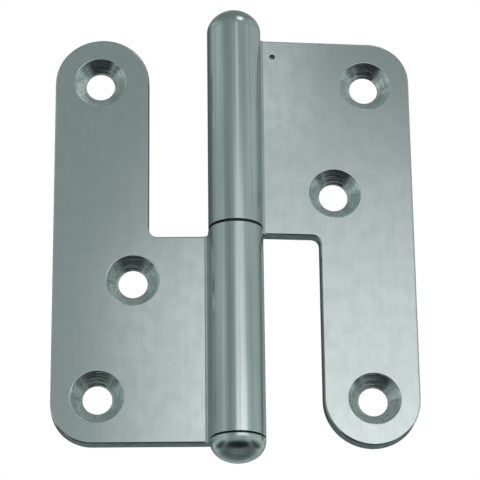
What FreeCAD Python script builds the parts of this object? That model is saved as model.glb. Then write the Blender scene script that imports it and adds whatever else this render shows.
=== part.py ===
# Lift off hinge with one fixed pin, in stainless steel.
#
# Two L-shaped leaves are pressed from the same 3 mm sheet and rolled at one end into a knuckle.
# They are one pressing: the door leaf is the frame leaf turned end for end. The frame leaf carries
# the pin, and the door leaf drops over it on a thin washer and lifts off again. A domed finial
# closes the outer end of each knuckle: flush on the door leaf, with a fine groove on the frame leaf.
#
# Frame: the back of the frame leaf lies in the plane Y = 0 and faces +Y, the pin stands along +Z,
# straight in front of the origin, and Z = 0 is the joint between the two knuckles.

import FreeCAD, Part

import math
import os

import Sketcher

V = FreeCAD.Vector

# Driving dimensions in millimetres, angles in degrees.
SIZES = {
    "leaf_height": 95.0,
    "leaf_width": 40.0,
    "sheet_thickness": 3.0,
    "tongue_width": 21.0,
    "corner_radius": 9.0,
    "notch_radius": 1.8,
    "edge_break": 0.3,
    "pin_diameter": 6.0,
    "running_clearance": 0.05,
    "tail_angle": 3.0,
    "toe_radius": 0.8,
    "foot_depth": 0.5,
    "knuckle_gap": 0.6,
    "washer_thickness": 0.5,
    "washer_inset": 0.3,
    "washer_bore_clearance": 0.15,
    "screw_hole_diameter": 6.4,
    "countersink_diameter": 11.6,
    "countersink_angle": 90.0,
    "outer_screw_inset": 10.0,
    "outer_screw_margin": 10.5,
    "middle_screw_inset": 17.5,
    "middle_screw_drop": 10.5,
    "tooling_hole_diameter": 1.2,
    "tooling_hole_line": 9.0,
    "tooling_hole_margin": 4.0,
    "dome_height": 5.2,
    "shoulder_radius": 4.2,
    "rim_bevel": 0.45,
    "spigot_length": 9.0,
    "pin_foot_gap": 0.5,
    "pin_nose_gap": 2.5,
    "pin_lead": 1.2,
    "end_chamfer": 0.5,
    "fold_back": 5.0,
}


def make_sheet(doc):
    sheet = doc.addObject("Spreadsheet::Sheet", "sizes")
    for row, (alias, value) in enumerate(SIZES.items(), start=1):
        sheet.set(f"A{row}", alias)
        sheet.set(f"B{row}", str(value))
        sheet.setAlias(f"B{row}", alias)
    return sheet


def origin_plane(body, role):
    return next(f for f in body.Origin.OriginFeatures if f.Role == role)


def make_sketch(body, name, role):
    sketch = body.newObject("Sketcher::SketchObject", name)
    sketch.AttachmentSupport = [(origin_plane(body, role), "")]
    sketch.MapMode = "FlatFace"
    return sketch


def bind(sketch, constraint, alias_expression, name):
    """Adds a dimension to the sketch, names it and ties it to the sheet."""
    index = sketch.addConstraint(constraint)
    sketch.renameConstraint(index, name)
    sketch.setExpression(f"Constraints.{name}", alias_expression)


def line(sketch, start, end):
    return sketch.addGeometry(Part.LineSegment(V(*start, 0), V(*end, 0)), False)


def arc(sketch, centre, radius, first, last):
    """A counter-clockwise arc between two angles in degrees."""
    circle = Part.Circle(V(*centre, 0), V(0, 0, 1), radius)
    turn = Part.ArcOfCircle(circle, math.radians(first), math.radians(last))
    return sketch.addGeometry(turn, False)


# The sketcher's own numbers for the points of an edge, and for a sketch's axes and its root point.
START, END, CENTRE = range(1, 4)
X_AXIS, Y_AXIS = range(-1, -3, -1)
ROOT = X_AXIS


def join(sketch, a, a_end, b, b_end, kind="Coincident"):
    sketch.addConstraint(Sketcher.Constraint(kind, a, a_end, b, b_end))


def straighten(sketch, kind, *lines):
    for item in lines:
        sketch.addConstraint(Sketcher.Constraint(kind, item))


def draw_blank(body, size):
    """The flat L of the pressing, seen from the front: the body beside the knuckle and the tongue."""
    w, half = size["leaf_width"], size["leaf_height"] / 2
    b, rc, rn = size["tongue_width"], size["corner_radius"], size["notch_radius"]
    top = -size["knuckle_gap"] / 2
    inner = b - w
    sketch = make_sketch(body, "blank_outline", "XZ_Plane")
    root_edge = line(sketch, (0, top), (0, -half))
    foot = line(sketch, (0, -half), (rc - w, -half))
    corner = arc(sketch, (rc - w, rc - half), rc, 180, 270)
    outer_edge = line(sketch, (-w, rc - half), (-w, half - b / 2))
    crown = arc(sketch, (b / 2 - w, half - b / 2), b / 2, 0, 180)
    inner_edge = line(sketch, (inner, half - b / 2), (inner, top + rn))
    notch = arc(sketch, (inner + rn, top + rn), rn, 180, 270)
    shoulder = line(sketch, (inner + rn, top), (0, top))
    join(sketch, root_edge, END, foot, START)
    join(sketch, foot, END, corner, END, "Tangent")
    join(sketch, corner, START, outer_edge, START, "Tangent")
    join(sketch, outer_edge, END, crown, END, "Tangent")
    join(sketch, crown, START, inner_edge, START, "Tangent")
    join(sketch, inner_edge, END, notch, START, "Tangent")
    join(sketch, notch, END, shoulder, START, "Tangent")
    join(sketch, shoulder, END, root_edge, START)
    straighten(sketch, "Vertical", root_edge, outer_edge, inner_edge)
    straighten(sketch, "Horizontal", foot, shoulder)
    sketch.addConstraint(Sketcher.Constraint("PointOnObject", root_edge, START, Y_AXIS))
    make = Sketcher.Constraint
    bind(sketch, make("DistanceY", root_edge, START, ROOT, 1, -top), "sizes.knuckle_gap / 2", "half_gap")
    bind(sketch, make("DistanceY", foot, START, ROOT, 1, half), "sizes.leaf_height / 2", "half_height")
    bind(sketch, make("DistanceX", outer_edge, START, ROOT, 1, w), "sizes.leaf_width", "width")
    bind(sketch, make("DistanceY", ROOT, 1, crown, CENTRE, half - b / 2),
         "(sizes.leaf_height - sizes.tongue_width) / 2", "crown_height")
    bind(sketch, make("Radius", crown, b / 2), "sizes.tongue_width / 2", "crown_radius")
    bind(sketch, make("Radius", corner, rc), "sizes.corner_radius", "corner")
    bind(sketch, make("Radius", notch, rn), "sizes.notch_radius", "notch")
    return sketch


def draw_roll(body, size):
    """Section of the rolled knuckle. The sheet leaves the leaf at its back, wraps round the pin and
    comes down almost square on the front of the leaf. The seam there is closed, with a small fillet
    at its toe, and the foot is let into the leaf, so that the broken leaf edges leave no gap."""
    t = size["sheet_thickness"]
    bore = size["pin_diameter"] / 2
    r = bore + t
    toe = size["toe_radius"]
    foot = size["foot_depth"] - t
    tail = math.radians(size["tail_angle"])
    leave, root = 180 + size["tail_angle"], 360 + 90

    def on_circle(radius):
        return -radius * math.cos(tail), -r - radius * math.sin(tail)

    def along_tail(radius, y):
        x, start = on_circle(radius)
        return x - (y - start) * math.tan(tail), y

    toe_start = along_tail(r, -t - toe + toe * math.sin(tail))
    toe_x = toe_start[0] - toe * math.cos(tail)
    sketch = make_sketch(body, "roll_section", "XY_Plane")
    sketch.AttachmentOffset = FreeCAD.Placement(V(0, 0, -size["leaf_height"] / 2), FreeCAD.Rotation())
    sketch.setExpression("AttachmentOffset.Base.z", "-sizes.leaf_height / 2")
    outside = arc(sketch, (0, -r), r, leave, root)
    tail_out = line(sketch, on_circle(r), toe_start)
    toe_fillet = arc(sketch, (toe_x, -t - toe), toe, size["tail_angle"], 90)
    toe_wall = line(sketch, (toe_x, -t), (toe_x, foot))
    foot_edge = line(sketch, (toe_x, foot), along_tail(bore, foot))
    tail_in = line(sketch, along_tail(bore, foot), on_circle(bore))
    inside = arc(sketch, (0, -r), bore, leave, root)
    root_edge = line(sketch, (0, -t), (0, 0))
    join(sketch, outside, START, tail_out, START, "Tangent")
    join(sketch, tail_out, END, toe_fillet, START, "Tangent")
    join(sketch, toe_fillet, END, toe_wall, START)
    join(sketch, toe_fillet, END, toe_fillet, CENTRE, "Vertical")
    join(sketch, toe_wall, END, foot_edge, START)
    join(sketch, foot_edge, END, tail_in, START)
    join(sketch, tail_in, END, inside, START, "Tangent")
    join(sketch, inside, END, root_edge, START)
    join(sketch, root_edge, END, outside, END)
    join(sketch, inside, CENTRE, outside, CENTRE)
    straighten(sketch, "Horizontal", foot_edge)
    straighten(sketch, "Vertical", toe_wall)
    for point in ((outside, CENTRE), (outside, END), (inside, END)):
        sketch.addConstraint(Sketcher.Constraint("PointOnObject", *point, Y_AXIS))
    make = Sketcher.Constraint
    bind(sketch, make("Radius", outside, r), "sizes.pin_diameter / 2 + sizes.sheet_thickness", "outer_radius")
    bind(sketch, make("Radius", inside, bore), "sizes.pin_diameter / 2", "bore_radius")
    bind(sketch, make("Radius", toe_fillet, toe), "sizes.toe_radius", "toe")
    bind(sketch, make("DistanceY", outside, CENTRE, ROOT, 1, r),
         "sizes.pin_diameter / 2 + sizes.sheet_thickness", "axis_depth")
    bind(sketch, make("DistanceY", toe_fillet, END, ROOT, 1, t), "sizes.sheet_thickness", "front_depth")
    bind(sketch, make("DistanceY", foot_edge, START, ROOT, 1, -foot),
         "sizes.sheet_thickness - sizes.foot_depth", "foot_level")
    bind(sketch, make("Angle", Y_AXIS, 1, tail_out, 1, tail), "sizes.tail_angle", "tail_lean")
    return sketch


def pad(body, name, sketch, length_expression):
    feature = body.newObject("PartDesign::Pad", name)
    feature.Profile = sketch
    feature.setExpression("Length", length_expression)
    return feature


def screw_centres(size):
    """Two screws on the outer line, near the ends of the leaf, and one closer in beside the knuckle."""
    far = size["leaf_height"] / 2 - size["outer_screw_margin"]
    outer = size["outer_screw_inset"] - size["leaf_width"]
    middle = size["middle_screw_inset"] - size["leaf_width"]
    return [(outer, far), (outer, -far), (middle, -size["middle_screw_drop"])]


def drill_screws(body, size):
    """Countersunk clearance holes, sunk from the front."""
    sketch = make_sketch(body, "screw_centres", "XZ_Plane")
    sketch.AttachmentOffset = FreeCAD.Placement(V(0, 0, size["sheet_thickness"]), FreeCAD.Rotation())
    sketch.setExpression("AttachmentOffset.Base.z", "sizes.sheet_thickness")
    outer = "sizes.leaf_width - sizes.outer_screw_inset"
    middle = "sizes.leaf_width - sizes.middle_screw_inset"
    places = [
        (outer, "sizes.leaf_height / 2 - sizes.outer_screw_margin"),
        (outer, "sizes.outer_screw_margin - sizes.leaf_height / 2"),
        (middle, "-sizes.middle_screw_drop"),
    ]
    make = Sketcher.Constraint
    radius = size["screw_hole_diameter"] / 2
    for number, ((x, z), (across, up)) in enumerate(zip(screw_centres(size), places), start=1):
        hole = sketch.addGeometry(Part.Circle(V(x, z, 0), V(0, 0, 1), radius), False)
        bind(sketch, make("Radius", hole, radius), "sizes.screw_hole_diameter / 2", f"radius_{number}")
        bind(sketch, make("DistanceX", hole, CENTRE, ROOT, 1, -x), across, f"across_{number}")
        bind(sketch, make("DistanceY", ROOT, 1, hole, CENTRE, z), up, f"up_{number}")
    body.Document.recompute()
    holes = body.newObject("PartDesign::Hole", "screw_holes")
    holes.Profile = sketch
    body.Document.recompute()
    holes.ThreadType = 0
    holes.DepthType = 1
    holes.setExpression("Diameter", "sizes.screw_hole_diameter")
    holes.HoleCutType = 2
    holes.HoleCutCustomValues = True
    holes.setExpression("HoleCutDiameter", "sizes.countersink_diameter")
    holes.setExpression("HoleCutCountersinkAngle", "sizes.countersink_angle")
    body.Document.recompute()
    return holes


def drill_tooling_hole(body, size):
    """The pinprick of a hole beside the upper knuckle, near the end of the leaf."""
    sketch = make_sketch(body, "tooling_centre", "XZ_Plane")
    x = -size["tooling_hole_line"]
    z = size["tooling_hole_margin"] - size["leaf_height"] / 2
    radius = size["tooling_hole_diameter"] / 2
    make = Sketcher.Constraint
    hole = sketch.addGeometry(Part.Circle(V(x, z, 0), V(0, 0, 1), radius), False)
    bind(sketch, make("Radius", hole, radius), "sizes.tooling_hole_diameter / 2", "radius")
    bind(sketch, make("DistanceX", hole, CENTRE, ROOT, 1, -x), "sizes.tooling_hole_line", "across")
    bind(sketch, make("DistanceY", ROOT, 1, hole, CENTRE, z),
         "sizes.tooling_hole_margin - sizes.leaf_height / 2", "up")
    pocket = body.newObject("PartDesign::Pocket", "tooling_hole")
    pocket.Profile = sketch
    pocket.Midplane = True
    pocket.setExpression("Length", "4 * sizes.sheet_thickness")
    return pocket


def break_edges(body, name, base, wanted):
    """Takes the sharpness off: chamfers the edges of the base feature that wanted(edge) picks."""
    names = [f"Edge{i}" for i, e in enumerate(base.Shape.Edges, start=1) if wanted(e)]
    chamfer = body.newObject("PartDesign::Chamfer", name)
    chamfer.Base = (base, names)
    chamfer.setExpression("Size", "sizes.edge_break")
    return chamfer


def in_plane(edge, axis, value):
    near = 1e-4
    box = edge.BoundBox
    low, high = (box.YMin, box.YMax) if axis == "y" else (box.ZMin, box.ZMax)
    return abs(low - value) < near and abs(high - value) < near


def make_leaf(doc, label, size, tooling_hole):
    body = doc.addObject("PartDesign::Body", label)
    body.Label = label
    t = size["sheet_thickness"]
    blank = pad(body, "blank", draw_blank(body, size), "sizes.sheet_thickness")
    doc.recompute()
    break_edges(body, "front_edges", blank, lambda e: in_plane(e, "y", -t) and e.BoundBox.XMin < -1e-3)
    doc.recompute()
    pad(body, "roll", draw_roll(body, size), "(sizes.leaf_height - sizes.knuckle_gap) / 2")
    doc.recompute()
    last = drill_screws(body, size)
    if tooling_hole:
        last = drill_tooling_hole(body, size)
    body.Tip = last
    doc.recompute()
    return body


def make_turned(doc, label, draw, size, **options):
    """A turned piece: a half section in the XZ plane, spun about the Z axis."""
    body = doc.addObject("PartDesign::Body", label)
    body.Label = label
    sketch = draw(body, size, **options)
    turned = body.newObject("PartDesign::Revolution", f"{label}_turned")
    turned.Profile = sketch
    turned.ReferenceAxis = (sketch, ["V_Axis"])
    turned.Angle = 360
    doc.recompute()
    return body


def draw_finial(body, size, grooved):
    """Domed end plug. Z = 0 is the seat on the knuckle's end, the dome is above, the spigot below.
    The dome is a shoulder arc, upright where it leaves the knuckle, and a flatter crown arc. On a
    grooved plug the edge of the seat is bevelled, which leaves a fine groove against the knuckle."""
    bore = size["pin_diameter"] / 2
    r = bore + size["sheet_thickness"]
    h, s = size["dome_height"], size["shoulder_radius"]
    depth, c = size["spigot_length"], size["end_chamfer"]
    rim = size["rim_bevel"] if grooved else 0
    rise = h - rim
    crown_radius = ((r - s) ** 2 + rise ** 2 - s ** 2) / (2 * (rise - s))
    meet = math.degrees(math.atan2(crown_radius - rise, r - s))
    sketch = make_sketch(body, "finial_section", "XZ_Plane")
    shoulder = arc(sketch, (r - s, rim), s, 0, meet)
    crown = arc(sketch, (0, h - crown_radius), crown_radius, meet, 90)
    seat = line(sketch, (r - rim, 0), (bore, 0))
    side = line(sketch, (bore, 0), (bore, c - depth))
    bevel = line(sketch, (bore, c - depth), (bore - c, -depth))
    end = line(sketch, (bore - c, -depth), (0, -depth))
    axis = line(sketch, (0, -depth), (0, h))
    make = Sketcher.Constraint
    if grooved:
        rim_edge = line(sketch, (r - rim, 0), (r, rim))
        join(sketch, rim_edge, START, seat, START)
        join(sketch, rim_edge, END, shoulder, START)
        bind(sketch, make("DistanceX", rim_edge, START, rim_edge, END, rim), "sizes.rim_bevel", "rim_width")
        bind(sketch, make("DistanceY", rim_edge, START, rim_edge, END, rim), "sizes.rim_bevel", "rim_height")
    else:
        join(sketch, shoulder, START, seat, START)
    join(sketch, shoulder, CENTRE, shoulder, START, "Horizontal")
    join(sketch, shoulder, END, crown, START, "Tangent")
    join(sketch, seat, END, side, START)
    join(sketch, side, END, bevel, START)
    join(sketch, bevel, END, end, START)
    join(sketch, end, END, axis, START)
    join(sketch, axis, END, crown, END)
    straighten(sketch, "Vertical", side)
    straighten(sketch, "Horizontal", end)
    for point in ((crown, CENTRE), (axis, START), (axis, END)):
        sketch.addConstraint(make("PointOnObject", *point, Y_AXIS))
    for point in ((seat, START), (seat, END)):
        sketch.addConstraint(make("PointOnObject", *point, X_AXIS))
    bind(sketch, make("DistanceX", ROOT, 1, shoulder, START, r),
         "sizes.pin_diameter / 2 + sizes.sheet_thickness", "seat_radius")
    bind(sketch, make("DistanceX", ROOT, 1, seat, END, bore), "sizes.pin_diameter / 2", "spigot_radius")
    bind(sketch, make("Radius", shoulder, s), "sizes.shoulder_radius", "shoulder")
    bind(sketch, make("DistanceY", ROOT, 1, axis, END, h), "sizes.dome_height", "height")
    bind(sketch, make("DistanceY", axis, START, ROOT, 1, depth), "sizes.spigot_length", "depth")
    bind(sketch, make("DistanceX", bevel, END, bevel, START, c), "sizes.end_chamfer", "bevel_width")
    bind(sketch, make("DistanceY", bevel, END, bevel, START, c), "sizes.end_chamfer", "bevel_height")
    return sketch


def draw_pin(body, size):
    """The pin: a pressed seat up to the washer, then a running part a little thinner, with a lead at
    its top that finds the bore when the door leaf is dropped on."""
    seat_r = size["pin_diameter"] / 2
    run_r = seat_r - size["running_clearance"]
    room = size["leaf_height"] / 2 - size["spigot_length"]
    low, top = size["pin_foot_gap"] - room, room - size["pin_nose_gap"]
    c, lead = size["end_chamfer"], size["pin_lead"]
    step = -size["knuckle_gap"] / 2
    sketch = make_sketch(body, "pin_section", "XZ_Plane")
    foot = line(sketch, (0, low), (seat_r - c, low))
    bevel = line(sketch, (seat_r - c, low), (seat_r, low + c))
    seat = line(sketch, (seat_r, low + c), (seat_r, step))
    ledge = line(sketch, (seat_r, step), (run_r, step))
    run = line(sketch, (run_r, step), (run_r, top - lead))
    cone = line(sketch, (run_r, top - lead), (run_r - lead, top))
    nose = line(sketch, (run_r - lead, top), (0, top))
    axis = line(sketch, (0, top), (0, low))
    join(sketch, foot, END, bevel, START)
    join(sketch, bevel, END, seat, START)
    join(sketch, seat, END, ledge, START)
    join(sketch, ledge, END, run, START)
    join(sketch, run, END, cone, START)
    join(sketch, cone, END, nose, START)
    join(sketch, nose, END, axis, START)
    join(sketch, axis, END, foot, START)
    straighten(sketch, "Vertical", seat, run)
    straighten(sketch, "Horizontal", foot, ledge, nose)
    make = Sketcher.Constraint
    for point in ((foot, START), (nose, END)):
        sketch.addConstraint(make("PointOnObject", *point, Y_AXIS))
    bind(sketch, make("DistanceX", ROOT, 1, seat, END, seat_r), "sizes.pin_diameter / 2", "seat_radius")
    bind(sketch, make("DistanceX", ROOT, 1, run, START, run_r),
         "sizes.pin_diameter / 2 - sizes.running_clearance", "run_radius")
    bind(sketch, make("DistanceY", foot, START, ROOT, 1, -low),
         "sizes.leaf_height / 2 - sizes.spigot_length - sizes.pin_foot_gap", "foot_depth")
    bind(sketch, make("DistanceY", ledge, START, ROOT, 1, -step), "sizes.knuckle_gap / 2", "ledge_depth")
    bind(sketch, make("DistanceY", ROOT, 1, nose, END, top),
         "sizes.leaf_height / 2 - sizes.spigot_length - sizes.pin_nose_gap", "reach")
    bind(sketch, make("DistanceX", bevel, START, bevel, END, c), "sizes.end_chamfer", "bevel_width")
    bind(sketch, make("DistanceY", bevel, START, bevel, END, c), "sizes.end_chamfer", "bevel_height")
    bind(sketch, make("DistanceX", cone, END, cone, START, lead), "sizes.pin_lead", "lead_width")
    bind(sketch, make("DistanceY", cone, START, cone, END, lead), "sizes.pin_lead", "lead_height")
    return sketch


def make_washer(doc, label):
    """Flat washer between the knuckles, a little smaller than they are."""
    outer = doc.addObject("Part::Cylinder", "washer_disc")
    inner = doc.addObject("Part::Cylinder", "washer_bore")
    outer.setExpression("Radius", "sizes.pin_diameter / 2 + sizes.sheet_thickness - sizes.washer_inset")
    inner.setExpression("Radius", "sizes.pin_diameter / 2 + sizes.washer_bore_clearance")
    for disc in (outer, inner):
        disc.setExpression("Height", "sizes.washer_thickness")
        disc.setExpression("Placement.Base.z", "-sizes.washer_thickness / 2")
    washer = doc.addObject("Part::Cut", label)
    washer.Label = label
    washer.Base = outer
    washer.Tool = inner
    return washer


def check(doc, parts):
    bad = [o.Name for o in doc.Objects if "Invalid" in o.State or "Error" in o.State]
    if bad:
        raise RuntimeError(f"these objects failed: {bad}")
    for part in parts:
        if part.Shape.isNull() or not part.Shape.isValid() or not part.Shape.Solids:
            raise RuntimeError(f"{part.Label} has no valid solid")


def main():
    doc = FreeCAD.newDocument("lift_off_hinge")
    make_sheet(doc)
    doc.recompute()
    size = dict(SIZES)
    pin_axis = V(0, -(size["pin_diameter"] / 2 + size["sheet_thickness"]), 0)
    knuckle_end = size["leaf_height"] / 2

    frame_leaf = make_leaf(doc, "frame_leaf", size, tooling_hole=False)
    door_leaf = make_leaf(doc, "door_leaf", size, tooling_hole=True)
    pin = make_turned(doc, "pin", draw_pin, size)
    lower_finial = make_turned(doc, "lower_finial", draw_finial, size, grooved=True)
    upper_finial = make_turned(doc, "upper_finial", draw_finial, size, grooved=False)
    washer = make_washer(doc, "bearing_washer")

    end_for_end = FreeCAD.Rotation(V(0, 1, 0), 180)
    fold = FreeCAD.Rotation(V(0, 0, 1), size["fold_back"])
    swing = FreeCAD.Placement(V(0, 0, 0), fold, pin_axis)
    door_leaf.Placement = swing.multiply(FreeCAD.Placement(V(0, 0, 0), end_for_end))
    pin.Placement = FreeCAD.Placement(pin_axis, FreeCAD.Rotation())
    washer.Placement = FreeCAD.Placement(pin_axis, FreeCAD.Rotation())
    upper_finial.Placement = FreeCAD.Placement(pin_axis + V(0, 0, knuckle_end), FreeCAD.Rotation())
    lower_finial.Placement = FreeCAD.Placement(pin_axis - V(0, 0, knuckle_end), end_for_end)
    doc.recompute()

    parts = [frame_leaf, door_leaf, pin, lower_finial, upper_finial, washer]
    check(doc, parts)
    os.makedirs("parts", exist_ok=True)
    for part in parts:
        part.Shape.exportStep(f"parts/{part.Label}.step")
        box = part.Shape.BoundBox
        print(f"{part.Label}: {part.Shape.Volume:.1f} mm3, {len(part.Shape.Solids)} solid,"
              f" {box.XLength:.2f} x {box.YLength:.2f} x {box.ZLength:.2f} mm")


main()
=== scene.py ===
import math

import bmesh
import bpy
import numpy as np
from mathutils import Matrix, Vector


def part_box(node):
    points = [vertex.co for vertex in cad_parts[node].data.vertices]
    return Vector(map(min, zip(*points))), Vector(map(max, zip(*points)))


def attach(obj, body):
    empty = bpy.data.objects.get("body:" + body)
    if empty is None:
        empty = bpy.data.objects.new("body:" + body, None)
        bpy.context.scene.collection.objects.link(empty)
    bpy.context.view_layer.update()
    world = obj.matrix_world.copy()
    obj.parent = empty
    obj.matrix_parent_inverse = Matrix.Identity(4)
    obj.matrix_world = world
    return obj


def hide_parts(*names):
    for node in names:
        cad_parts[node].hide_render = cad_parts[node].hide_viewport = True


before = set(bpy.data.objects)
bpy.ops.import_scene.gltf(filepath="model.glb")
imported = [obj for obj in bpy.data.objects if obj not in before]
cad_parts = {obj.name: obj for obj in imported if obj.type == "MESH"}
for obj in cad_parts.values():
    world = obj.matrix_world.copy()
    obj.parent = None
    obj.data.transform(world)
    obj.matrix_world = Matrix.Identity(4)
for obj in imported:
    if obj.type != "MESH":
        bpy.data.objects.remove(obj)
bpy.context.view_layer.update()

MM = 0.001

# Sizes taken from the frame: the pin's axis, the knuckles and what fills their ends and bores.
washer_low, washer_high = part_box("bearing_washer")
finial_low, finial_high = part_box("upper_finial")
pin_low, pin_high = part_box("pin")
PIN_AXIS = (washer_low + washer_high) / 2
KNUCKLE_RADIUS = (finial_high.x - finial_low.x) / 2
KNUCKLE_END = -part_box("frame_leaf")[0].z
DOME_HEIGHT = finial_high.z - KNUCKLE_END
SPIGOT_DEPTH = KNUCKLE_END - finial_low.z
BORE_RADIUS = (pin_high.x - pin_low.x) / 2

# The door leaf stands this far past flat.
FOLD = math.radians(5)

# The finials: the dome's shoulder arc, the bevel that makes the lower one's groove, the least that
# any rim is broken, and the chamfer at the foot of the spigot.
SHOULDER = 4.2 * MM
RIM_BEVEL = 0.45 * MM
LEAST_RIM = 0.02 * MM
SPIGOT_CHAMFER = 0.5 * MM
CROWN_POINTS = 24
SHOULDER_POINTS = 20

# The pin runs free in the upper knuckle, and has a cone at its top and a chamfer at its foot. The
# washer is a little looser on it than the knuckle.
RUNNING_CLEARANCE = 0.05 * MM
PIN_LEAD = 1.2 * MM
PIN_CHAMFER = 0.5 * MM
WASHER_CLEARANCE = 0.15 * MM

# How far the sharp edges are rounded: by tumbling on the leaves, and less on the finials.
TUMBLED = 0.16 * MM
FINIAL_EDGE = 0.05 * MM
PIN_EDGE = 0.15 * MM
WASHER_EDGE = 0.08 * MM
ROUNDING_STEPS = 3
ROUNDED_FROM = math.radians(25)

# Turned pieces: steps round the axis, the angle from which an edge stays sharp, and the distance
# within which two points are one.
TURN_STEPS = 96
SHARP_FROM = math.radians(35)
TURNED_WELD = 1e-7

# Leaves: the same distance, the angle under which neighbouring triangles are one face, the fillet
# at the knuckle's toe, and the margin at each end that has no countersink.
LEAF_WELD = 1e-6
FLAT_WITHIN = math.radians(0.5)
TOE = 0.9 * MM
END_MARGIN = 3 * MM
# The finishes on a leaf, in the order of its materials.
SHEET, KNUCKLE, COUNTERSINK, SHEARED = range(4)
# How a face's normal tells them apart: the most that an upright face leans, what makes a face part
# of the flat sheet, and between what a countersink's wall slopes, which is 0.71 at 45 degrees.
UPRIGHT = 0.01
FLAT_ON = 0.9999
SLOPE_FROM, SLOPE_TO = 0.5, 0.9

# Where a pattern's values lie: most of a steel's, the few peaks that are scratches, and most of a
# moulding's.
POLISH_FROM, POLISH_TO = 0.35, 0.65
SCRATCH_FROM, SCRATCH_TO = 0.66, 0.72
SPECK_FROM, SPECK_TO = 0.3, 0.7
SCRATCH_DETAIL = 2.0

# Camera. It stands below the hinge and looks up at its countersunk side.
CAMERA_DISTANCE = 0.5330
CAMERA_ELEVATION = math.radians(-21.78)
CAMERA_AZIMUTH = math.radians(0.82)
CAMERA_ROLL = math.radians(0.63)
CAMERA_LENS_MM = 183.23
CAMERA_NEAR = 10 * MM
SENSOR_MM = 36.0
# Where the joint of the knuckles falls in the frame, as shares of its width from the centre.
JOINT_RIGHT = -0.00887
JOINT_UP = 0.02165

# What the room shows to the metal, as grey levels: by height from straight down, -1, to straight
# up, 1, and from the left, -1, to the right, 1.
ROOM_BY_HEIGHT = ((-1.0, 0.30), (-0.85, 0.20), (-0.65, 0.24), (-0.42, 0.56), (-0.2, 0.60),
                  (0.0, 0.57), (0.25, 0.50), (0.5, 0.47), (0.8, 0.38), (1.0, 0.32))
ROOM_BY_SIDE = ((-1.0, 0.9), (-0.92, 1.08), (-0.82, 1.35), (-0.7, 1.05), (-0.58, 0.77),
                (-0.35, 0.77), (-0.15, 0.88), (0.1, 0.80), (0.4, 0.80), (0.7, 1.1), (1.0, 1.25))
# The height of the screens behind, and how much their edge slants to the left.
SCREEN_HEIGHT = 0.25
SCREEN_SLANT = -0.5

# The strips of the main light: from left to right, from low to high and the depth, in metres, and
# the radiance. They stand in two rows, a centimetre apart in depth. Strips of one row don't
# overlap; where the rows do, their light adds up, and the satin steel blurs them into one gradient.
KEY_STRIPS = (
    # The near row reaches furthest left, and is dimmer the higher it goes.
    ((-0.038, 0.220), (-0.040, 0.112), -0.30, 0.44),
    ((-0.025, 0.220), (0.112, 0.150), -0.30, 0.25),
    ((0.026, 0.128), (0.150, 0.176), -0.30, 0.23),
    # The far row adds the brighter part of the leaves and the streak along the knuckles.
    ((-0.009, 0.300), (-0.040, 0.060), -0.31, 0.60),
    ((-0.009, 0.300), (0.060, 0.100), -0.31, 0.31),
    ((-0.005, 0.200), (0.100, 0.150), -0.31, 0.24),
    # The last one is narrow, and lights the door leaf beside the upper knuckle.
    ((0.034, 0.084), (0.164, 0.230), -0.31, 0.47),
)
# The glint on the upper finial comes from a small panel over the hinge, given as a strip is, which
# is tipped towards it by so many degrees.
OVERHEAD = ((0.07, 0.19), (0.27, 0.44), -0.18, 1.5)
OVERHEAD_TIP = 40

# The light table under the hinge, far enough down to stay out of the picture except where it is
# looked down on.
TABLE_HEIGHT = -0.9
TABLE_RADIUS = 6.0
TABLE_STEPS = 64


def linear(code):
    """sRGB hex colour to linear RGBA."""
    channels = [int(code[i:i + 2], 16) / 255 for i in (1, 3, 5)]
    return [c / 12.92 if c <= 0.04045 else ((c + 0.055) / 1.055) ** 2.4 for c in channels] + [1.0]


def add(tree, kind, feeds=None, **settings):
    """Adds a node and sets its attributes. feeds maps its sockets, by name or number, to values or
    to the outputs of other nodes."""
    node = tree.nodes.new(kind)
    for name, value in settings.items():
        setattr(node, name, value)
    for name, value in (feeds or {}).items():
        if isinstance(value, bpy.types.NodeSocket):
            tree.links.new(value, node.inputs[name])
        else:
            node.inputs[name].default_value = value
    return node


def new_material(name):
    """A material and its node tree, still empty."""
    material = bpy.data.materials.new(name)
    material.use_nodes = True
    tree = material.node_tree
    tree.nodes.clear()
    return material, tree


def grains(tree, size, turn=0.0, detail=3.0):
    """A pattern whose grains measure size, in millimetres along x, y and z, all turned about z."""
    place = add(tree, "ShaderNodeTexCoord").outputs["Object"]
    laid = add(tree, "ShaderNodeMapping", {
        "Vector": place, "Rotation": (0, 0, turn), "Scale": [side * MM for side in size],
    }, vector_type="TEXTURE").outputs[0]
    return add(tree, "ShaderNodeTexNoise", {
        "Vector": laid, "Scale": 1.0, "Detail": detail,
    }).outputs["Fac"]


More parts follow.
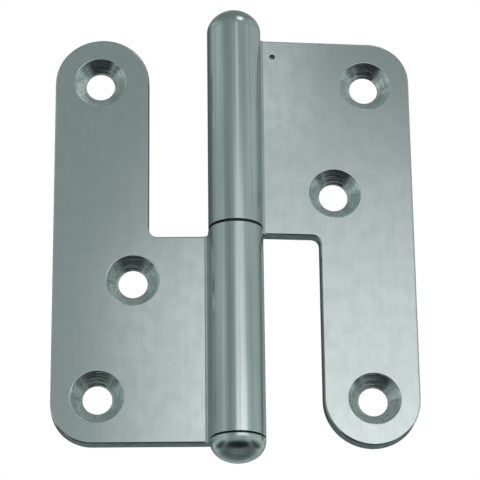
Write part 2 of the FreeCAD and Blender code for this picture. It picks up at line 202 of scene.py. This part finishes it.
def steel(name, tones, lines, clouds, share, roughness, height, turn=0.0, scratches=None,
          detail=3.0):
    """A steel whose colour and roughness follow fine lines and soft clouds, the lines by the given
    share. The lines stand up by height, in millimetres, and scratches, if any, are darker and more
    matt. The higher the detail, the more mixed in size the lines and the clouds are."""
    material, tree = new_material(name)
    streaks = grains(tree, lines, turn, detail)
    mixed = add(tree, "ShaderNodeMix", {
        0: share, 2: grains(tree, clouds, turn, detail), 3: streaks,
    }).outputs[0]
    polish = add(tree, "ShaderNodeMapRange", {
        "Value": mixed, "From Min": POLISH_FROM, "From Max": POLISH_TO,
    }, interpolation_type="SMOOTHSTEP").outputs[0]
    if scratches:
        cuts = add(tree, "ShaderNodeMapRange", {
            "Value": grains(tree, scratches, turn, SCRATCH_DETAIL),
            "From Min": SCRATCH_FROM, "From Max": SCRATCH_TO,
        }).outputs[0]
        polish = add(tree, "ShaderNodeMix", {0: cuts, 2: polish, 3: 0.0}).outputs[0]
    dark, light = tones
    smooth, matt = roughness
    colour = add(tree, "ShaderNodeMix", {0: polish, 6: linear(dark), 7: linear(light)},
                 data_type="RGBA").outputs[2]
    sheen = add(tree, "ShaderNodeMapRange", {
        "Value": polish, "To Min": matt, "To Max": smooth,
    }).outputs[0]
    relief = add(tree, "ShaderNodeBump", {
        "Height": streaks, "Strength": 1.0, "Distance": height * MM,
    }).outputs[0]
    shader = add(tree, "ShaderNodeBsdfPrincipled", {
        "Base Color": colour, "Metallic": 1.0, "Roughness": sheen, "Normal": relief,
    })
    add(tree, "ShaderNodeOutputMaterial", {"Surface": shader.outputs[0]})
    return material


def moulding(name, tones, grain, roughness, glow=0.0):
    """A plastic with a fine grain, in millimetres, in its colour and roughness; glow is for one
    that is lit from within."""
    material, tree = new_material(name)
    specks = grains(tree, (grain,) * 3)
    dark, light = tones
    smooth, matt = roughness
    colour = add(tree, "ShaderNodeMix", {0: specks, 6: linear(dark), 7: linear(light)},
                 data_type="RGBA").outputs[2]
    sheen = add(tree, "ShaderNodeMapRange", {
        "Value": specks, "From Min": SPECK_FROM, "From Max": SPECK_TO,
        "To Min": smooth, "To Max": matt,
    }).outputs[0]
    shader = add(tree, "ShaderNodeBsdfPrincipled", {
        "Base Color": colour, "Roughness": sheen,
        "Emission Color": linear(light), "Emission Strength": glow,
    })
    add(tree, "ShaderNodeOutputMaterial", {"Surface": shader.outputs[0]})
    return material


def curve(centre, radius, first, last, count):
    """Points (radius, height) of a circular arc between two angles in degrees."""
    a = np.radians(np.linspace(first, last, count))
    return np.stack([centre[0] + radius * np.cos(a), centre[1] + radius * np.sin(a)], axis=1)


def turned(name, profile):
    """Surface of revolution about the pin's axis: the grid point (i, j) is profile point j, its
    radius r and height z, turned by the angle a = 2 pi i / steps to (r cos a, r sin a, z)."""
    a = np.arange(TURN_STEPS) * 2 * np.pi / TURN_STEPS
    r, z = profile[:, 0], profile[:, 1]
    x = PIN_AXIS.x + np.outer(np.cos(a), r)
    y = PIN_AXIS.y + np.outer(np.sin(a), r)
    points = np.stack([x, y, np.broadcast_to(z, x.shape)], axis=2).reshape(-1, 3)
    i, j = np.meshgrid(np.arange(TURN_STEPS), np.arange(len(profile) - 1), indexing="ij")
    corner = i * len(profile) + j
    across = (i + 1) % TURN_STEPS * len(profile) + j
    faces = np.stack([corner, across, across + 1, corner + 1], axis=2).reshape(-1, 4)
    mesh = bpy.data.meshes.new(name)
    mesh.from_pydata(points.tolist(), [], faces.tolist())
    shell = bmesh.new()
    shell.from_mesh(mesh)
    bmesh.ops.remove_doubles(shell, verts=shell.verts, dist=TURNED_WELD)
    bmesh.ops.recalc_face_normals(shell, faces=shell.faces)
    shell.to_mesh(mesh)
    shell.free()
    piece = bpy.data.objects.new(name, mesh)
    bpy.context.scene.collection.objects.link(piece)
    mesh.shade_smooth()
    mesh.set_sharp_from_angle(angle=SHARP_FROM)
    return piece


def finial_profile(rim):
    """Half section of a finial from its pole to its spigot, heights above the knuckle's end. The
    crown arc and the shoulder arc meet on the line through their centres, and the rim is
    bevelled."""
    r, s, rise = KNUCKLE_RADIUS, SHOULDER, DOME_HEIGHT - rim
    crown = ((r - s) ** 2 + rise ** 2 - s ** 2) / (2 * (rise - s))
    meet = math.degrees(math.atan2(crown - rise, r - s))
    return np.concatenate([
        curve((0, DOME_HEIGHT - crown), crown, 90, meet, CROWN_POINTS),
        curve((r - s, rim), s, meet, 0, SHOULDER_POINTS)[1:],
        [[r - max(rim, LEAST_RIM), 0],
         [BORE_RADIUS, 0],
         [BORE_RADIUS, SPIGOT_CHAMFER - SPIGOT_DEPTH],
         [BORE_RADIUS - SPIGOT_CHAMFER, -SPIGOT_DEPTH],
         [0, -SPIGOT_DEPTH]],
    ])


def pin_profile():
    """Half section of the pin from its top to its foot: nose, cone, running part, the ledge under
    the washer, pressed seat and chamfer."""
    top, foot, ledge = pin_high.z, pin_low.z, washer_low.z
    run, seat = BORE_RADIUS - RUNNING_CLEARANCE, BORE_RADIUS
    return np.array([[0, top], [run - PIN_LEAD, top], [run, top - PIN_LEAD],
                     [run, ledge], [seat, ledge],
                     [seat, foot + PIN_CHAMFER], [seat - PIN_CHAMFER, foot], [0, foot]])


def washer_profile():
    """Half section of the washer: a flat ring, closed on itself."""
    outer = (washer_high.x - washer_low.x) / 2
    inner = BORE_RADIUS + WASHER_CLEARANCE
    low, high = washer_low.z, washer_high.z
    return np.array([[inner, high], [outer, high], [outer, low], [inner, low], [inner, high]])


def finish_of(face):
    """Which finish a leaf's face has, from where it lies and which way it faces. The countersunk
    side faces -Y."""
    centre, normal = face.calc_center_median(), face.normal
    from_axis = math.hypot(centre.x - PIN_AXIS.x, centre.y - PIN_AXIS.y)
    upright = abs(normal.z) < UPRIGHT
    if from_axis < KNUCKLE_RADIUS + TOE and upright and abs(normal.y) < FLAT_ON:
        return KNUCKLE
    sloping = SLOPE_FROM < -normal.y < SLOPE_TO
    if sloping and not upright and abs(centre.z) < KNUCKLE_END - END_MARGIN:
        return COUNTERSINK
    if abs(normal.y) < SLOPE_FROM:
        return SHEARED
    return SHEET


def tumbled_leaf(node):
    """A leaf ready for its edges to be rounded: the solid's triangles are merged into whole faces,
    and each is given its finish."""
    piece = bpy.data.objects.new(f"{node}_tumbled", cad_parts[node].data.copy())
    bpy.context.scene.collection.objects.link(piece)
    piece.data.materials.clear()
    shell = bmesh.new()
    shell.from_mesh(piece.data)
    bmesh.ops.remove_doubles(shell, verts=shell.verts, dist=LEAF_WELD)
    bmesh.ops.dissolve_limit(shell, angle_limit=FLAT_WITHIN, verts=shell.verts, edges=shell.edges)
    for face in shell.faces:
        face.material_index = finish_of(face)
        face.smooth = True
    shell.to_mesh(piece.data)
    shell.free()
    return piece


def put(piece, body, slot, node, edge, *materials):
    """Rounds a piece's sharp edges by a width, gives it its materials and its body, and lets it
    stand for its CAD node."""
    for material in materials:
        piece.data.materials.append(material)
    bevel = piece.modifiers.new("edges", "BEVEL")
    bevel.width = edge
    bevel.segments = ROUNDING_STEPS
    bevel.limit_method = "ANGLE"
    bevel.angle_limit = ROUNDED_FROM
    # The large faces alone set the shading, so that they stay flat up to their rounded edges.
    level = piece.modifiers.new("level", "WEIGHTED_NORMAL")
    level.mode = "FACE_AREA"
    level.weight = 100
    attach(piece, body)
    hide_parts(node)


def place_camera():
    """The camera stands at its distance from the joint of the knuckles, and is aimed beside it, so
    that the joint falls at its place in the frame."""
    a, e = CAMERA_AZIMUTH, CAMERA_ELEVATION
    back = Vector((-math.cos(e) * math.sin(a), -math.cos(e) * math.cos(a), math.sin(e)))
    look = -back
    right = look.cross(Vector((0, 0, 1))).normalized()
    up = right.cross(look)
    cr, sr = math.cos(CAMERA_ROLL), math.sin(CAMERA_ROLL)
    right, up = cr * right - sr * up, sr * right + cr * up
    spread = SENSOR_MM / CAMERA_LENS_MM
    axis = (look - JOINT_RIGHT * spread * right - JOINT_UP * spread * up).normalized()
    right = (right - right.dot(axis) * axis).normalized()
    up = right.cross(axis)
    data = bpy.data.cameras.new("camera")
    data.lens = CAMERA_LENS_MM
    data.sensor_width = SENSOR_MM
    data.clip_start = CAMERA_NEAR
    camera = bpy.data.objects.new("camera", data)
    bpy.context.scene.collection.objects.link(camera)
    turn = Matrix((right, up, -axis)).transposed()
    camera.matrix_world = Matrix.Translation(PIN_AXIS + back * CAMERA_DISTANCE) @ turn.to_4x4()
    bpy.context.scene.camera = camera


def panel(name, x, z, y, radiance, tip=90):
    """A soft box that spans x and z round the depth y, in metres, tipped back from facing straight
    down to facing the hinge at 90 degrees."""
    data = bpy.data.lights.new(name, "AREA")
    data.shape = "RECTANGLE"
    data.size, data.size_y = x[1] - x[0], z[1] - z[0]
    data.energy = radiance * math.pi * data.size * data.size_y
    light = bpy.data.objects.new(name, data)
    light.location = ((x[0] + x[1]) / 2, y, (z[0] + z[1]) / 2)
    light.rotation_euler = (math.radians(tip), 0, 0)
    light.visible_camera = False
    bpy.context.scene.collection.objects.link(light)


def studio():
    """White where the camera looks past the hinge, and a room in greys for what its metal mirrors:
    shades by height and from side to side, with a few dark patches."""
    world = bpy.data.worlds.new("studio")
    bpy.context.scene.world = world
    world.use_nodes = True
    tree = world.node_tree
    tree.nodes.clear()
    seen = add(tree, "ShaderNodeLightPath").outputs["Is Camera Ray"]
    way = add(tree, "ShaderNodeTexCoord").outputs["Generated"]
    x, y, z = add(tree, "ShaderNodeSeparateXYZ", {"Vector": way}).outputs
    level = 1.0
    for side, shades in ((z, ROOM_BY_HEIGHT), (x, ROOM_BY_SIDE)):
        place = add(tree, "ShaderNodeMapRange", {"Value": side, "From Min": -1.0}).outputs[0]
        ramp = add(tree, "ShaderNodeValToRGB", {"Fac": place})
        while len(ramp.color_ramp.elements) < len(shades):
            ramp.color_ramp.elements.new(0.5)
        for element, (where, shade) in zip(ramp.color_ramp.elements, shades):
            element.position = (where + 1) / 2
            element.color = (shade, shade, shade, 1)
        level = add(tree, "ShaderNodeMath", {0: level, 1: ramp.outputs[0]},
                    operation="MULTIPLY").outputs[0]
    aside = add(tree, "ShaderNodeMath", {0: x}, operation="ABSOLUTE").outputs[0]
    behind = add(tree, "ShaderNodeMath", {0: x, 1: SCREEN_SLANT, 2: y},
                 operation="MULTIPLY_ADD").outputs[0]
    offset = add(tree, "ShaderNodeMath", {0: z, 1: SCREEN_HEIGHT}, operation="SUBTRACT").outputs[0]
    offset = add(tree, "ShaderNodeMath", {0: offset}, operation="ABSOLUTE").outputs[0]
    # A patch leaves a share of the room's light within its limits. A limit is what it measures, the
    # value up to which the patch is full, and the value from which it is gone.
    patches = (
        # The table's dark edge: low, in front, and not far to the sides.
        (0.15, ((z, -0.56, -0.43), (y, -0.34, -0.14), (aside, 0.58, 0.78))),
        # Dark cards, low on the left and on the right.
        (0.12, ((z, -0.36, -0.16), (aside, 0.82, 0.74))),
        # Dark screens behind, a little above the horizon, more so on the left.
        (0.35, ((offset, 0.22, 0.32), (behind, 0.95, 0.55))),
    )
    for share, limits in patches:
        gone = 0.0
        for value, full, end in limits:
            past = add(tree, "ShaderNodeMapRange", {
                "Value": value, "From Min": full, "From Max": end,
            }).outputs[0]
            gone = add(tree, "ShaderNodeMath", {0: gone, 1: past}, operation="MAXIMUM").outputs[0]
        left = add(tree, "ShaderNodeMapRange", {"Value": gone, "To Min": share}).outputs[0]
        level = add(tree, "ShaderNodeMath", {0: level, 1: left}, operation="MULTIPLY").outputs[0]
    room = add(tree, "ShaderNodeBackground", {
        "Color": linear("#EAFFFD"), "Strength": level,
    }).outputs[0]
    white = add(tree, "ShaderNodeBackground", {"Color": linear("#FFFFFF")}).outputs[0]
    both = add(tree, "ShaderNodeMixShader", {0: seen, 1: room, 2: white}).outputs[0]
    add(tree, "ShaderNodeOutputWorld", {"Surface": both})


def light_table():
    """The floor: a round table whose point (i, j) is at the angle 2 pi i / steps, in the middle for
    j = 0 and on the rim for j = 1."""
    i = np.arange(TABLE_STEPS)
    a = i * 2 * np.pi / TABLE_STEPS
    r = np.array([0.0, TABLE_RADIUS])
    points = np.stack([np.outer(np.cos(a), r), np.outer(np.sin(a), r),
                       np.full((TABLE_STEPS, 2), TABLE_HEIGHT)], axis=2).reshape(-1, 3)
    faces = np.stack([2 * i, 2 * i + 1, 2 * ((i + 1) % TABLE_STEPS) + 1], axis=1)
    mesh = bpy.data.meshes.new("light_table")
    mesh.from_pydata(points.tolist(), [], faces.tolist())
    table = bpy.data.objects.new("light_table", mesh)
    bpy.context.scene.collection.objects.link(table)
    table.visible_glossy = False
    # Milky acrylic lit from below: an even, paper-white glow without a horizon.
    mesh.materials.append(moulding("opal_acrylic", ("#F8F4F4", "#FCFAFA"), grain=40,
                                   roughness=(0.5, 0.6), glow=0.62))


place_camera()
studio()
for number, strip in enumerate(KEY_STRIPS, start=1):
    panel(f"key_{number}", *strip)
panel("overhead", *OVERHEAD, tip=OVERHEAD_TIP)
light_table()

# The knuckle is rolled from the leaf's sheet and then polished lengthwise: brighter streaks along
# the pin.
roll_steel = steel("polished_stainless_roll", ("#B2B9B8", "#CACECD"), lines=(0.5, 0.5, 60),
                   clouds=(6, 6, 40), share=0.5, roughness=(0.18, 0.26), height=0.0006, turn=FOLD)
# Sheared edges: darker and matt, torn across the sheet.
edge_steel = steel("sheared_stainless", ("#5E6664", "#8C9492"), lines=(1.5, 0.3, 1.5),
                   clouds=(0.5, 0.5, 0.5), share=0.5, roughness=(0.3, 0.45), height=0.01)
# The finials are turned from bar and polished: fine rings round the axis.
turned_steel = steel("turned_stainless", ("#B2BCB9", "#C8D0CD"), lines=(4, 4, 0.15),
                     clouds=(3, 3, 3), share=0.6, roughness=(0.18, 0.26), height=0.0004)
# The pin is ground between centres: a close even finish with the finest rings.
pin_steel = steel("ground_stainless", ("#B8C0BD", "#C4CCC9"), lines=(5, 5, 0.12),
                  clouds=(6, 6, 6), share=0.8, roughness=(0.14, 0.2), height=0.0004)
# Black, dull and slightly grained: the dark line between the knuckles is drawn as a black washer.
washer_in_black = moulding("black_washer", ("#15181A", "#22272A"), grain=0.2, roughness=(0.45, 0.6))

for leaf, half, turn in (("frame_leaf", "frame_half", 0.0), ("door_leaf", "door_half", FOLD)):
    # Stainless sheet, ground with a belt along the hinge and then tumbled: satin, with long faint
    # lines, soft clouds where the stones rubbed more, and a few scratches. The real lines are about
    # 0.05 mm apart; the coarsest are drawn 0.4 mm apart, because the finest alone don't show.
    sheet_steel = steel(f"satin_stainless_{leaf}", ("#BDC2C2", "#C5C9C9"), lines=(0.4, 0.4, 40),
                        clouds=(3, 3, 4), share=0.25, roughness=(0.15, 0.18), height=0.0001,
                        turn=turn, scratches=(0.2, 0.2, 15), detail=6.0)
    # Countersinks are cut with a rose bit, which leaves rings and chatter marks: ragged glints
    # round the hole. The glints come partly from the rings' bumps and are partly painted: the
    # colour is a lighter copy of the sheet's, lightest along the rings, a painted highlight that
    # brightens the walls. On a 90 degree cone a ring lies at one depth, so the rings follow the
    # depth below the face. The real ones are about 0.1 mm apart and are drawn 0.4 mm apart.
    sink_steel_painted_glints = steel(f"cut_stainless_painted_glints_{leaf}", ("#BCC4C1", "#E2E6E4"), lines=(7, 0.4, 7),
                       clouds=(1.2, 1.2, 1.2), share=0.5, roughness=(0.16, 0.32), height=0.08,
                       turn=turn)
    put(tumbled_leaf(leaf), half, "leaf_steel", leaf, TUMBLED,
        sheet_steel, roll_steel, sink_steel_painted_glints, edge_steel)

upper = finial_profile(0) + [0, KNUCKLE_END]
lower = (finial_profile(RIM_BEVEL) + [0, KNUCKLE_END]) * [1, -1]
put(turned("upper_finial_turned", upper), "door_half", "finial_steel", "upper_finial",
    FINIAL_EDGE, turned_steel)
put(turned("lower_finial_turned", lower), "frame_half", "finial_steel", "lower_finial",
    FINIAL_EDGE, turned_steel)
put(turned("pin_turned", pin_profile()), "frame_half", "pin_steel", "pin", PIN_EDGE, pin_steel)
put(turned("washer_moulded", washer_profile()), "washer", "washer_black", "bearing_washer",
    WASHER_EDGE, washer_in_black)

# Tones are shown as they are, without a film look.
bpy.context.scene.view_settings.view_transform = "Standard"
